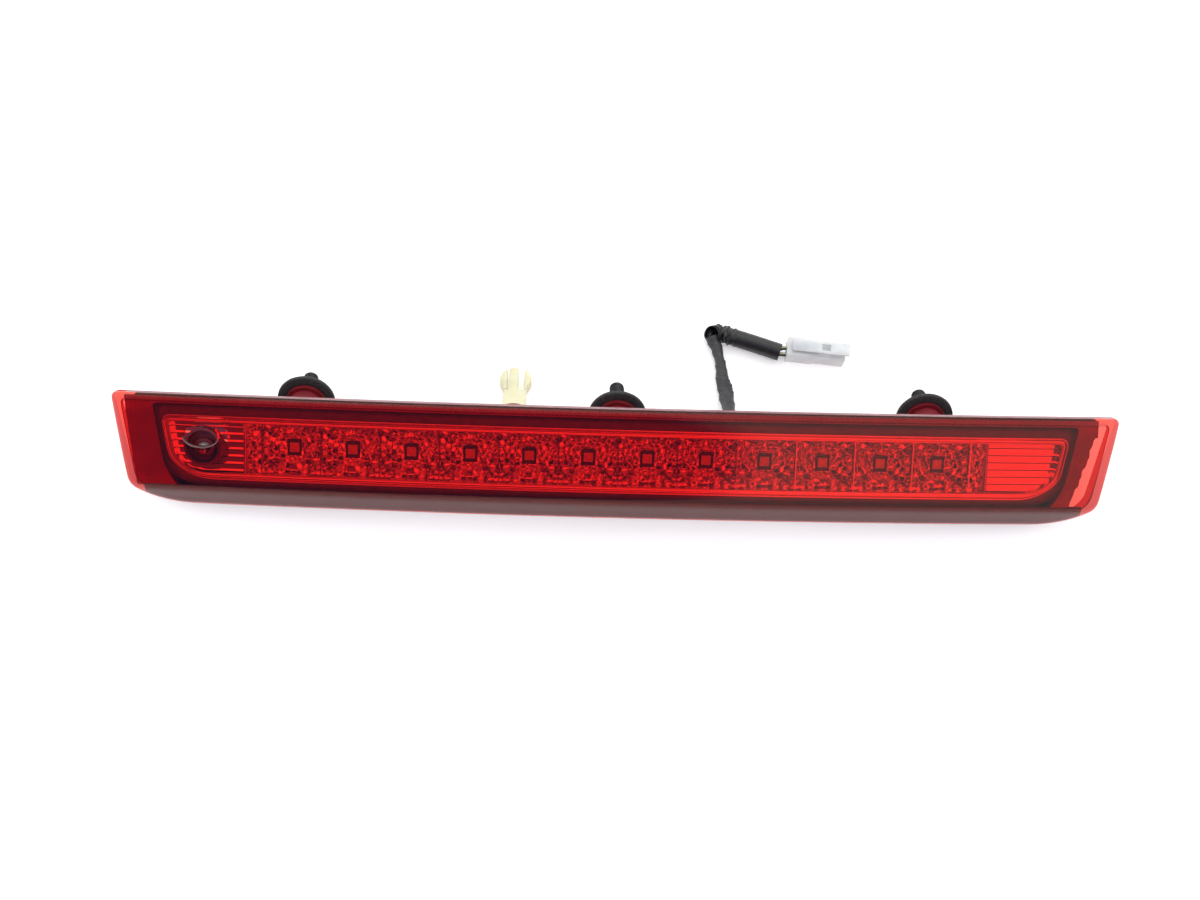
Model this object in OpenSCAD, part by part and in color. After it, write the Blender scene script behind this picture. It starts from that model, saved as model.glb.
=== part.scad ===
// Third brake light with a washer nozzle, lying on its back on a table.
// The lamp itself is drawn with X along its length, Y into its depth and Z up its face,
// then place() lays it on its gaskets and the lower rear edge of its housing.

/* [Lens] */
// Length of the lens along its top edge
lens_w = 388.6; // [384:0.2:392]
// Height of the top edge of the lens above the line of the LEDs
lens_top = 20.4; // [20:0.1:21]
// Depth of the low edge of the lens below the line of the LEDs
lens_low = 23.9; // [23.5:0.1:24.5]
// Wall thickness of the lens
lens_wall = 2.5; // [2.2:0.1:2.8]
// Radius of the plan curve that the whole lamp follows
plan_r = 1600; // [1500:10:1800]
// Inward lean of both ends, going down
end_lean = 10.6; // [9:0.1:12]
// Length of the clear lens edge that overhangs the housing at each end
lens_overhang = 7; // [6:0.5:8]

/* [Housing] */
// Depth from the face of the lens to the back of the housing
housing_depth = 26; // [25:0.5:27]
// Wall thickness of the housing
housing_wall = 2.2; // [2:0.1:2.4]

/* [Lighting] */
// Number of light cells
cells = 12; // [8:2:12]
// Distance between neighbouring cells
cell_pitch = 22.9; // [22:0.1:23]
// Height of the window in the bezel
window_h = 19; // [18:0.1:19.4]

/* [Fastening] */
// Distance between neighbouring mounting studs
stud_pitch = 124; // [120:1:128]
// Rise of the stud axes above straight back
stud_rise = 30; // [28:0.5:32]
// Outer radius of the stud thread
stud_r = 3; // [2.5:0.5:3]
// Distance from the rear wall to the stud tips, along the studs
stud_reach = 26.4; // [25:0.2:28]
// Outer radius of the foam gaskets
gasket_r = 11.4; // [11:0.1:12]
// Place of the locating clip along the lamp
clip_x = -41; // [-45:1:-35]

/* [Washer nozzle] */
// Place of the washer nozzle along the lamp
nozzle_x = -159.4; // [-160:0.1:-159]
// Radius of the aiming ball
ball_r = 2.8; // [2.6:0.1:2.9]

/* [Cable] */
// Diameter of the taped cable
cable_d = 4.4; // [4:0.1:4.8]
// Diameter of the loose sleeve
sleeve_d = 7.4; // [7:0.1:7.6]
// Diameter of one wire
wire_d = 1.7; // [1.5:0.1:1.9]
// Place of the cable grommet along the lamp
grommet_x = 45; // [42:1:48]

/* [Connector] */
// Length of the connector
connector_l = 24; // [23:0.5:26]
// Width of the connector
connector_w = 8; // [7.8:0.1:9]
// Height of the connector without its locking tab
connector_h = 7.4; // [7:0.2:7.8]

/* [Hidden] */

$fn = 48;
sweep = 10;               // half of the swept angle of every long piece
arc_fn = 720;
over = 1;                 // how far cutting shapes pass the surface they cut

// How the lamp lies: the tilt of the table against the lamp's own Z, and the shift to the origin
rest_lean = 28.8;
rest_y = -18.5;
rest_z = 38.4;

// Cross-section of the lens, as [depth, height]
crease_z = -15.8;
slope_depth = 11.4;
rim_top = 6.6;
rim_low = 14.6;
low_corner_w = 22;
low_corner_h = 12;

// Positions inside, as depths behind the face of the lens
bezel_y = 3.7;
panel_y = 7.4;
recess_y = 5;
rib_pitch = 2.83;
cup_front_y = 6.4;
cup_floor_y = 12.6;
board_y = 14;
board_t = 1.2;
board_half = 141;
cup_wall = 1.4;
cell_half_h = window_h / 2 + 0.2;
strip_half = 143;         // half the length of the reflector strip
panel_end = 172.4;        // outer end of the ribbed panels, at the top of the window

root_y = housing_depth;   // where the stud axes leave the rear wall
root_z = 9.8;
tower_r = 6.5;
tower_rim_r = 8;
tower_rim_t = 1.5;
tower_mid = 7.3;
tower_end = 10.2;
gasket_t = 2;
clip_boss_r = 7.5;
stud_head_s = 1.5;
stud_head_t = 3.5;
stud_head_r = 5;
shoulder_r = 3.4;
tip_chamfer = 1;

nozzle_z = -0.9;          // height of the ball, the barrel and the hose
barrel_r = 4.6;
cup_r = 7.3;              // the nozzle's cup behind the lens, and how far it sits above the ball
cup_up = 1.3;
cup_back_y = 8.2;
hole_r = 7.1;             // the opening in the lens: a circle above the ball, cut off by a wider one
hole_up = 2.5;
hole_cut_r = 9;
ball_y = 5.6;
seat_r = 4.2;
socket_gap = 0.08;

grommet_z = 6;
grommet_r = 5.5;
grommet_out = 9;

vent_x = 100;
vent_z = 4;

peg_x = 167;
peg_r = 3;
peg_z = 5;

screw_cells = [-5, -1, 1, 5];   // cell borders that carry a board screw

// Route of the taped cable, from the grommet back to the sleeve, lying on the table
cable_route = [[45, 7.4, 13.3], [45.1, 10, 11.7], [45.2, 13, 9.7], [45.3, 16, 7.5], [45.3, 19, 5.5],
    [45.1, 22, 3.8], [44.8, 25, 2.8], [44.3, 28, 2.4], [43.7, 31, 2.3], [43.2, 34, 2.3],
    [42.8, 37, 2.3], [42.4, 40, 2.3], [41.8, 43, 2.4], [40.8, 46, 2.6], [39.7, 48.5, 3],
    [39.1, 50, 3.3]];
sleeve_route = [[38.9, 50.7, 3.9], [40.8, 51.2, 3.9], [42.8, 51.3, 3.9], [45.2, 50.8, 3.9],
    [47.6, 50, 3.9], [52, 48.6, 3.9], [56.5, 47.2, 3.9], [62, 45.4, 3.9], [67.2, 43.7, 3.9]];
wire_end = [70.4, 44.4, 3.7];
wire_gap = 1.2;           // half the distance between the two wires
connector_at = [69.8, 45.2, 0];
connector_turn = -5;
contact_gap = 1.9;        // half the distance between the two contacts
block_drop = 0.8;         // how far the hood stands below the top of the block

function sag(x) = plan_r - sqrt(plan_r * plan_r - x * x);

// Points of an elliptical corner c between a point a on one edge and a point b on the next
function corner(c, a, b, n) = [
    for (i = [0 : n])
        let (t = 90 * i / n) c + (a - c) * (1 - sin(t)) + (b - c) * (1 - cos(t))
];

// Right half of the face outline, moved in by the given amounts
function right_side(side, top, bottom) =
    let (
        top_z = lens_top - top,
        low_z = bottom - lens_low,
        top_x = lens_w / 2 - side - top * tan(end_lean),
        low_x = top_x - (top_z - low_z) * tan(end_lean),
        up = [sin(end_lean), cos(end_lean)],
        c1 = [top_x, top_z],
        c2 = [low_x, low_z],
        w = max(low_corner_w - side, 8),
        h = max(low_corner_h - bottom, 6)
    )
    concat(corner(c1, c1 - [2, 0], c1 - 2 * up, 3), corner(c2, c2 + h * up, c2 - [w, 0], 8));

module outline(side, top, bottom) {
    pts = right_side(side, top, bottom);
    last = len(pts) - 1;
    polygon(concat(pts, [for (i = [last : -1 : 0]) [-pts[i][0], pts[i][1]]]));
}

// The face outline as a block from one depth to another
module block(side, top, bottom, front = -5, back = 60) {
    translate([0, back, 0])
        rotate([90, 0, 0])
            linear_extrude(back - front)
                outline(side, top, bottom);
}

// A [depth, height] section swept along the plan curve
module swept(section) {
    translate([0, plan_r, 0])
        rotate([0, 0, -90 - sweep])
            rotate_extrude(angle = 2 * sweep, $fn = arc_fn)
                polygon([for (p = section) [plan_r - p[0], p[1]]]);
}

// Moves children along the plan curve, turning them with it
module along(s) {
    translate([0, plan_r, 0])
        rotate([0, 0, s / plan_r * 180 / PI])
            translate([0, -plan_r, 0])
                children();
}

// A cylinder that runs back from depth y
module rod(r, y, length, r2 = undef) {
    translate([0, y, 0])
        rotate([-90, 0, 0])
            cylinder(r1 = r, r2 = is_undef(r2) ? r : r2, h = length);
}

// A box centred on X and Z that runs back from depth y
module slab(w, y, d, h) {
    translate([-w / 2, y, -h / 2])
        cube([w, d, h]);
}

// Local frame of a stud: Z runs out along the stud, from the rear wall
module on_stud(x, z = root_z) {
    translate([x, sag(x) + root_y, z])
        rotate([stud_rise - 90, 0, 0])
            children();
}

module place() {
    translate([0, rest_y, rest_z])
        rotate([rest_lean - 90, 0, 0])
            children();
}

// A closed tube of n sides through the given points
module tube(route, r, n = 8) {
    last = len(route) - 1;
    function dir(i) =
        let (d = route[min(i + 1, last)] - route[max(i - 1, 0)]) d / norm(d);
    function ring(i) =
        let (
            t = dir(i),
            s0 = cross(t, [0, 0, 1]),
            s = s0 / norm(s0),
            u = cross(s, t)
        )
        [for (k = [0 : n - 1]) route[i] + r * (cos(360 * k / n) * s + sin(360 * k / n) * u)];
    points = [for (i = [0 : last]) each ring(i)];
    sides = [
        for (i = [0 : last - 1], k = [0 : n - 1])
            let (a = i * n + k, b = i * n + (k + 1) % n) each [[a, a + n, b], [b, a + n, b + n]]
    ];
    near = [for (k = [1 : n - 2]) [0, k, k + 1]];
    far = [for (k = [1 : n - 2]) [last * n, last * n + k + 1, last * n + k]];
    polyhedron(points, concat(sides, near, far));
}

function stud_places() = [-stud_pitch, 0, stud_pitch];
function tower_len(x) = x == 0 ? tower_mid : tower_end;

// Sections of the lens: its outside, and the hollow behind its wall
lens_out = [[rim_top, lens_top + over], [0.9, lens_top + over], [0.4, 17], [0, 8], [0, -4],
    [0.8, crease_z], [slope_depth, -lens_low], [slope_depth + 1.3, -lens_low - over],
    [rim_low, -lens_low - over]];
lens_in = [[30, lens_top], [0.9 + lens_wall, lens_top], [0.4 + lens_wall, 17], [lens_wall, 8],
    [lens_wall, -4], [0.8 + lens_wall, crease_z + 0.9], [slope_depth + 1.4, lens_wall - lens_low],
    [30, lens_wall - lens_low]];

module lens_shell() {
    difference() {
        intersection() {
            swept(lens_out);
            block(0, 0, 0);
        }
        intersection() {
            swept(lens_in);
            block(lens_wall, lens_wall, lens_wall);
        }
    }
}

// The wall inside each end of the lens that meets the housing
module lens_end_rib() {
    intersection() {
        swept(lens_out);
        difference() {
            block(lens_overhang, over, over);
            block(lens_overhang + housing_wall, -over, -over, -6, 61);
        }
        union() {
            for (side = [-1, 1])
                translate([side * lens_w / 2 - 30, -10, -lens_low])
                    cube([60, 80, lens_low + lens_top]);
        }
    }
}

module outer_lens() {
    color([0.78, 0.05, 0.06, 0.6])
        difference() {
            union() {
                lens_shell();
                lens_end_rib();
            }
            along(nozzle_x)
                translate([0, 0, nozzle_z + hole_up])
                    intersection() {
                        rod(hole_r, -5, 15);
                        translate([0, 0, hole_r])
                            rod(hole_cut_r, -5, 15);
                    }
        }
}

tub_y = rim_top + 1.2;
bond_gap = 0.1;
flange_t = 2.2;
tub_out = [[tub_y, 17], [23.5, 15.4], [housing_depth, 12.6], [housing_depth, -15],
    [23.5, -17.5], [rim_low + 1, -20.6]];
tub_in = [[5, 14.8], [22.4, 13.1], [housing_depth - housing_wall, 11.5],
    [housing_depth - housing_wall, -14], [22.6, -15.3], [14, -18.3], [5, -18.3]];

module housing_body() {
    union() {
        intersection() {
            swept([[rim_top + bond_gap, lens_top + over],
                [rim_top + bond_gap + flange_t, lens_top + over],
                [rim_low + bond_gap + flange_t, -lens_low - over],
                [rim_low + bond_gap, -lens_low - over]]);
            block(lens_overhang + 0.1, 0.8, 0.8);
        }
        intersection() {
            swept(tub_out);
            block(14.5, 1, 1);
        }
        for (x = stud_places())
            on_stud(x)
                translate([0, 0, -9])
                    union() {
                        cylinder(r = tower_r, h = 9 + tower_len(x));
                        translate([0, 0, 9 + tower_len(x) - tower_rim_t])
                            cylinder(r = tower_rim_r, h = tower_rim_t);
                    }
        on_stud(clip_x)
            translate([0, 0, -7])
                cylinder(r = clip_boss_r, h = 11);
        on_stud(grommet_x, grommet_z)
            translate([0, 0, -6])
                cylinder(r = grommet_r + 2.4, h = 8);
        along(vent_x)
            translate([0, 0, vent_z])
                rod(2.6, housing_depth - 1, 6);
    }
}

module housing() {
    color([0.55, 0.06, 0.08])
        union() {
            difference() {
                housing_body();
                intersection() {
                    swept(tub_in);
                    block(14.5 + housing_wall, 1, 1);
                }
                for (x = stud_places())
                    on_stud(x)
                        stud_shape(x);
                on_stud(clip_x)
                    translate([-3.2, -2.2, -12])
                        cube([6.4, 4.4, 20]);
                on_stud(grommet_x, grommet_z)
                    translate([0, 0, -12])
                        cylinder(r = grommet_r - 1.5, h = 20);
                along(vent_x)
                    translate([0, 0, vent_z])
                        rod(1.2, 15, 20);
                along(nozzle_x)
                    translate([0, 0, nozzle_z])
                        rod(barrel_r + 0.1, 15, 20);
            }
            for (b = screw_cells)
                along(b * cell_pitch)
                    difference() {
                        rod(3.2, board_y + board_t + 0.05, housing_depth - housing_wall + 0.3 - board_y - board_t);
                        rod(1.3, board_y, 7);
                    }
            for (side = [-1, 1])
                along(side * peg_x)
                    translate([0, 0, peg_z])
                        rod(peg_r, board_y, housing_depth - housing_wall + 0.4 - board_y);
        }
}

// One mounting stud in its own frame; its head is moulded into the tower
module stud_shape(x) {
    head_end = stud_head_s + stud_head_t;
    free = stud_reach - tower_len(x) - tip_chamfer;
    translate([0, 0, stud_head_s])
        cylinder(r = stud_head_r, h = stud_head_t, $fn = 6);
    translate([0, 0, head_end - 0.5])
        cylinder(r = shoulder_r, h = tower_len(x) - head_end + 0.5);
    translate([0, 0, tower_len(x)])
        cylinder(r = stud_r, h = free);
    translate([0, 0, tower_len(x) + free])
        cylinder(r1 = stud_r, r2 = stud_r - 0.8, h = tip_chamfer);
}

module mounting_studs() {
    color([0.45, 0.45, 0.47])
        for (x = stud_places())
            on_stud(x)
                stud_shape(x);
}

module stud_gaskets() {
    color([0.14, 0.15, 0.16])
        for (x = stud_places())
            on_stud(x)
                translate([0, 0, tower_len(x)])
                    difference() {
                        cylinder(r = gasket_r, h = gasket_t);
                        translate([0, 0, -over])
                            cylinder(r = stud_r + 1, h = gasket_t + 2 * over);
                    }
}

// Frame of the bezel: a raised band round the window, a recessed plate outside it, and end panels
module window_block(grow, front, back) {
    top = lens_top - window_h / 2 - grow;
    side = lens_w / 2 - panel_end - grow - top * tan(end_lean);
    block(side, top, lens_low - window_h / 2 - grow, front, back);
}

// A curved sheet from one depth to another, between two heights
module sheet(front, back, low, high) {
    swept([[front, high], [back, high], [back, low], [front, low]]);
}

module window_slab(grow, front, back) {
    intersection() {
        sheet(front, back, -16, 16);
        window_block(grow, -8, 40);
    }
}

module nozzle_clearance(r) {
    along(nozzle_x)
        translate([0, 0, nozzle_z + cup_up])
            rod(r, -5, 30);
}

module inner_bezel() {
    color([0.72, 0.1, 0.1])
        union() {
            difference() {
                union() {
                    window_slab(2.8, bezel_y, recess_y + 1.2);
                    window_slab(1.3, bezel_y, panel_y + 1.2);
                    intersection() {
                        sheet(recess_y, recess_y + 1.2, -20, 20);
                        block(15, 4, 8.5);
                    }
                }
                window_slab(0, -2, panel_y);
                intersection() {
                    sheet(cup_front_y - 0.1, 20, -11.05, 11.05);
                    translate([-strip_half, -5, -12])
                        cube([2 * strip_half, 40, 24]);
                }
                nozzle_clearance(cup_r + 0.3);
            }
            panel_ribs();
            for (side = [-1, 1])
                along(side * peg_x)
                    translate([0, 0, peg_z])
                        rod(peg_r, panel_y + 1, board_y - panel_y - 1);
        }
}

module panel_ribs() {
    difference() {
        intersection() {
            union() {
                for (i = [-3 : 3])
                    let (z = i * rib_pitch)
                    swept([[panel_y + 0.2, z + 1.1], [panel_y - 0.8, z], [panel_y + 0.2, z - 1.1]]);
            }
            window_block(0.1, -8, 40);
            union() {
                for (side = [-1, 1])
                    translate([side * (strip_half + 30.5), 0, 0])
                        slab(60, -10, 60, window_h + 1);
            }
        }
        nozzle_clearance(cup_r + 0.3);
    }
}

// One cup of the reflector: a conical wall inside its own rectangle, open at the LED
module cup() {
    intersection() {
        slab(cell_pitch, cup_front_y, 9, 2 * cell_half_h);
        difference() {
            cup_cone(cup_wall);
            cup_cone(0);
            slab(5.6, 0, 30, 7);
        }
    }
}

module cup_cone(back) {
    translate([0, cup_floor_y + back, 0])
        rotate([90, 0, 0])
            cylinder(r1 = 3.4, r2 = 19.6, h = 8);
}

module reflector() {
    color([0.85, 0.12, 0.1])
        union() {
            for (i = [0 : cells - 1])
                along((i - (cells - 1) / 2) * cell_pitch)
                    cup();
            for (side = [-1, 1])
                intersection() {
                    sheet(8.6, 10, -cell_half_h, cell_half_h);
                    translate([side * (strip_half - 3.5) - 2.9, 0, -20])
                        cube([5.8, 60, 40]);
                }
            difference() {
                intersection() {
                    swept([[cup_front_y, cell_half_h + 1], [board_y - 1, cell_half_h + 1],
                        [board_y - 1, -cell_half_h - 1], [cup_front_y, -cell_half_h - 1]]);
                    translate([-strip_half + 0.3, -5, -20])
                        cube([2 * strip_half - 0.6, 60, 40]);
                }
                intersection() {
                    swept([[0, cell_half_h - 0.1], [20, cell_half_h - 0.1],
                        [20, 0.1 - cell_half_h], [0, 0.1 - cell_half_h]]);
                    translate([-strip_half + 1.5, -5, -20])
                        cube([2 * strip_half - 3, 60, 40]);
                }
            }
        }
}

module circuit_board() {
    color([0.1, 0.3, 0.16])
        difference() {
            intersection() {
                swept([[board_y, 8.6], [board_y + board_t, 8.6], [board_y + board_t, -8.6], [board_y, -8.6]]);
                translate([-board_half, 0, -10])
                    cube([2 * board_half, 40, 20]);
            }
            for (b = screw_cells)
                along(b * cell_pitch)
                    rod(1.6, 10, 10);
        }
}

module led_packages() {
    color([0.9, 0.9, 0.86])
        for (i = [0 : cells - 1])
            along((i - (cells - 1) / 2) * cell_pitch)
                difference() {
                    slab(3.6, board_y - 1.9, 1.9, 3.6);
                    rod(1.4, board_y - 2.9, 1.9);
                }
}

module led_windows() {
    color([0.95, 0.75, 0.3])
        for (i = [0 : cells - 1])
            along((i - (cells - 1) / 2) * cell_pitch)
                rod(1.35, board_y - 1.8, 0.8);
}

module board_resistors() {
    color([0.12, 0.12, 0.13])
        for (i = [0 : cells - 1])
            along((i - (cells - 1) / 2) * cell_pitch + 4)
                translate([0, 0, -5])
                    slab(2, board_y + board_t, 0.6, 1.25);
}

module board_diodes() {
    color([0.16, 0.16, 0.17])
        for (s = [26, 52])
            along(s)
                translate([0, 0, 5])
                    slab(4.3, board_y + board_t, 2.2, 2.7);
}

header_x = 36;
module board_header() {
    color([0.88, 0.86, 0.78])
        along(header_x)
            translate([0, 0, 4.5])
                slab(6, board_y + board_t, 4, 5);
}

module board_screws() {
    color([0.7, 0.7, 0.72])
        for (b = screw_cells)
            along(b * cell_pitch) {
                rod(1.3, board_y, 6);
                rod(2.7, board_y - 1.5, 1.5);
            }
}

// Both inner leads run from the header to the inner mouth of the grommet
module inner_lead(z) {
    tube([[39, 17.8, 4 + z], [40.2, 18.2, 4.1 + z], [41.5, 18.8, 4.3 + z], [42.8, 19.6, 4.4 + z],
        [44, 20.6, 4.4 + z], [45, 21.8, 4.3 + z]], wire_d / 2 - 0.1);
}

module inner_lead_green() {
    color([0.05, 0.3, 0.15])
        inner_lead(1.2);
}

module inner_lead_black() {
    color([0.08, 0.08, 0.08])
        inner_lead(-1.2);
}

// The locating clip, in the stud frame: neck, tongue and a crown that carries both wings
clip_tip = 35;
clip_t = 4.2;
wing_root_s = 20.4;
wing_root_x = 3.3;

module clip_body() {
    color([0.85, 0.84, 0.7])
        on_stud(clip_x) {
            translate([-3.1, -2.1, -4])
                cube([6.2, 4.2, 8.5]);
            translate([0, 0, 4])
                cylinder(r = 7, h = 2);
            translate([-4.6, -clip_t / 2, 5.9])
                cube([9.2, clip_t, wing_root_s - 6]);
            translate([0, clip_t / 2, 0])
                rotate([90, 0, 0])
                    linear_extrude(clip_t)
                        polygon([[-2.8, wing_root_s - 2], [1.1, wing_root_s - 2], [1.1, clip_tip - 0.7],
                            [0.3, clip_tip], [-1.8, clip_tip], [-2.8, clip_tip - 0.9]]);
        }
}

// One wing, from its thin hinge at the neck up and out to its shoulder, then in to its free end
module clip_wing(side) {
    color([0.87, 0.86, 0.72])
        on_stud(clip_x)
            translate([0, clip_t / 2, wing_root_s])
                rotate([90, 0, 0])
                    linear_extrude(clip_t)
                        polygon([[side * wing_root_x, 0], [side * 4.6, 0], [side * 5, 2.5], [side * 6.1, 5],
                            [side * 6.5, 6.8], [side * 6.3, 8.8], [side * 5.4, 11.6], [side * 4.4, 13.4],
                            [side * (wing_root_x + 0.1), 13.5]]);
}

module clip_wing_left() {
    clip_wing(-1);
}

module clip_wing_right() {
    clip_wing(1);
}

module cable_grommet() {
    color([0.1, 0.1, 0.11])
        on_stud(grommet_x, grommet_z)
            difference() {
                union() {
                    translate([0, 0, -4])
                        cylinder(r = grommet_r - 1.55, h = 7);
                    translate([0, 0, 2.05])
                        cylinder(r = grommet_r + 1.5, h = 2);
                    translate([0, 0, 4])
                        cylinder(r1 = grommet_r - 0.8, r2 = cable_d / 2 + 1, h = grommet_out - 4);
                }
                translate([0, 0, -5])
                    cylinder(r = cable_d / 2 + 0.05, h = grommet_out + 6);
            }
}

module breather_cap() {
    color([0.09, 0.09, 0.1])
        along(vent_x)
            translate([0, 0, vent_z])
                difference() {
                    rod(4.2, housing_depth + 0.6, 6.5, 3.8);
                    rod(2.65, housing_depth, 5.2);
                    slab(1.6, housing_depth, 2.4, 12);
                }
}

// Washer nozzle, along the depth at its own place on the plan curve
module at_nozzle() {
    along(nozzle_x)
        translate([0, 0, nozzle_z])
            children();
}

module nozzle_body() {
    color([0.3, 0.05, 0.06])
        at_nozzle()
            difference() {
                union() {
                    translate([0, 0, cup_up])
                        difference() {
                            rod(cup_r, lens_wall + 0.15, cup_back_y - lens_wall - 0.15);
                            rod(cup_r - 1, 1, cup_back_y - 2.2);
                        }
                    rod(seat_r, ball_y - 0.7, cup_back_y - ball_y);
                    rod(barrel_r, cup_back_y - 1, housing_depth + 4 - cup_back_y);
                }
                translate([0, ball_y, 0])
                    sphere(r = ball_r + socket_gap);
                rod(1.5, 1, 40);
            }
}

module nozzle_ball() {
    color([0.62, 0.63, 0.65])
        at_nozzle()
            difference() {
                translate([0, ball_y, 0])
                    sphere(r = ball_r);
                rod(0.5, 0, 12);
                translate([0, 0, 0.9])
                    slab(3.6, ball_y - ball_r - 1, 2, 0.7);
            }
}

module nozzle_seal() {
    color([0.08, 0.08, 0.08])
        at_nozzle()
            difference() {
                rod(6, housing_depth - housing_wall - 1.5, 1.45);
                rod(barrel_r + 0.05, 10, 30);
            }
}

module nozzle_retainer() {
    color([0.75, 0.75, 0.76])
        at_nozzle()
            difference() {
                rod(6.5, housing_depth + 0.05, 1);
                rod(barrel_r + 0.05, 10, 30);
            }
}

elbow_y = housing_depth + 1.1;
elbow_d = 5;
nipple_r = 2;
nipple_top = 16;
module hose_elbow() {
    color([0.1, 0.1, 0.11])
        at_nozzle()
            difference() {
                union() {
                    rod(barrel_r + 1.2, elbow_y, elbow_d - 1);
                    translate([-2.6, elbow_y, 0])
                        cube([5.2, elbow_d - 0.4, 7]);
                    translate([0, elbow_y + 2.4, 6.8])
                        cylinder(r = nipple_r, h = nipple_top - 8.8);
                    translate([0, elbow_y + 2.4, nipple_top - 2])
                        cylinder(r1 = nipple_r + 0.5, r2 = nipple_r - 0.5, h = 2);
                }
                rod(barrel_r + 0.05, 10, housing_depth - 7);
                rod(1.5, elbow_y, 2.4);
                translate([0, elbow_y + 2.4, 0])
                    cylinder(r = 1.1, h = 30);
            }
}

module taped_cable() {
    color([0.15, 0.15, 0.16])
        tube(cable_route, cable_d / 2);
}

module cable_sleeve() {
    color([0.16, 0.16, 0.17])
        tube(sleeve_route, sleeve_d / 2, 10);
}

module wire(side) {
    a = sleeve_route[len(sleeve_route) - 1];
    across = [0.1, side * wire_gap, 0];
    steps = 3;
    tube([for (i = [0 : steps]) a + across + (wire_end - a) * i / steps], wire_d / 2);
}

module wire_green() {
    color([0.05, 0.3, 0.15])
        wire(1);
}

module wire_black() {
    color([0.08, 0.08, 0.08])
        wire(-1);
}

// Local frame of the connector: X towards its mouth, Z up from the table
module at_connector() {
    translate(connector_at)
        rotate([0, 0, connector_turn])
            children();
}

block_l = 11;
hood_wall = 0.9;
module connector_housing() {
    color([0.92, 0.92, 0.9, 0.9])
        at_connector()
            difference() {
                union() {
                    translate([0, -connector_w / 2, 0])
                        cube([block_l, connector_w, connector_h + block_drop]);
                    translate([block_l - over, -connector_w / 2 + 0.4, 0])
                        cube([connector_l - block_l + over, connector_w - 0.8, connector_h]);
                }
                translate([block_l, -connector_w / 2 + 0.4 + hood_wall, hood_wall])
                    cube([connector_l, connector_w - 0.8 - 2 * hood_wall, connector_h - 2 * hood_wall]);
                for (side = [-1, 1])
                    translate([-over, side * contact_gap, connector_h / 2])
                        rotate([0, 90, 0])
                            cylinder(r = 1.1, h = block_l + 2 * over);
                translate([3, -connector_w / 2 - over, -over])
                    cube([3, connector_w + 2 * over, 1.4 + over]);
            }
}

module connector_latch() {
    color([0.94, 0.94, 0.92])
        at_connector()
            difference() {
                union() {
                    translate([2, -2.6, connector_h + 1.4])
                        cube([connector_l - 0.5, 5.2, 1.1]);
                    translate([connector_l - 5, -2.6, connector_h + 1.05])
                        cube([1.5, 5.2, 1]);
                }
                translate([14, -1.3, connector_h])
                    cube([3.5, 2.6, 4]);
            }
}

module connector_terminals() {
    color([0.8, 0.75, 0.6])
        at_connector()
            for (side = [-1, 1])
                translate([3.5, side * contact_gap, connector_h / 2])
                    rotate([0, 90, 0])
                        union() {
                            cylinder(r = 1.05, h = 6.5);
                            translate([0, 0, 6])
                                cylinder(r = 0.5, h = 9);
                        }
}

module connector_lock() {
    color([0.85, 0.85, 0.83])
        at_connector()
            translate([3.05, -connector_w / 2, 0.05])
                cube([2.9, connector_w, 1.3]);
}

place() housing();
place() outer_lens();
place() inner_bezel();
place() reflector();
place() circuit_board();
place() led_packages();
place() led_windows();
place() board_resistors();
place() board_diodes();
place() board_header();
place() board_screws();
place() inner_lead_green();
place() inner_lead_black();
place() mounting_studs();
place() stud_gaskets();
place() clip_body();
place() clip_wing_left();
place() clip_wing_right();
place() cable_grommet();
place() breather_cap();
place() nozzle_body();
place() nozzle_ball();
place() nozzle_seal();
place() nozzle_retainer();
place() hose_elbow();
taped_cable();
cable_sleeve();
wire_green();
wire_black();
connector_housing();
connector_latch();
connector_terminals();
connector_lock();
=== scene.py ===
import math

import bmesh
import bpy
import numpy as np
from mathutils import Matrix, Vector


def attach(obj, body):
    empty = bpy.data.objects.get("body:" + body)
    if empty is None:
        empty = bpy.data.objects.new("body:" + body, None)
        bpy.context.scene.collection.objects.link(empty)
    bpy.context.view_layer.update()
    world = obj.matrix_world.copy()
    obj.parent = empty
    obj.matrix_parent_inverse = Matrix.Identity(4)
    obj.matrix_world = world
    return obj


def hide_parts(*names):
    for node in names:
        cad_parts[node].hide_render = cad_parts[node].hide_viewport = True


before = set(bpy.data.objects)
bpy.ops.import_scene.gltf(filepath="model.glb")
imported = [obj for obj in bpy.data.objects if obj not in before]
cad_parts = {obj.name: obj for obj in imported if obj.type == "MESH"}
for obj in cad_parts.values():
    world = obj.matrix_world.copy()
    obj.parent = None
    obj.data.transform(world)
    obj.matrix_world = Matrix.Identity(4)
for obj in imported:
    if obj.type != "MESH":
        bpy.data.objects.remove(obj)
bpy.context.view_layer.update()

# The lamp's own frame: X along it, Y into its depth, Z up its face, in millimetres.
PLAN_R = 1600.0
LEAN = math.radians(28.8)
REST_Y, REST_Z = -18.5, 38.4
LENS_W, LENS_TOP, LENS_LOW = 388.6, 20.4, 23.9
END_LEAN = math.radians(10.6)
CREASE_Z, SLOPE_DEPTH = -15.8, 11.4
LENS_WALL, EDGE_R = 2.5, 1.6
CELL, CELLS = 22.9, 12
NOZZLE_X, NOZZLE_Z = -159.4, -0.9
# Each stud's X, with the height of its tower above the rear wall.
TOWERS = {-124.0: 10.2, 0.0: 7.3, 124.0: 10.2}
STUD_R, STUD_END, STUD_TILT = 3.0, 26.4, math.radians(30)
REAR_WALL, STUD_ROOT_Z = 26, 9.8
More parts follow.
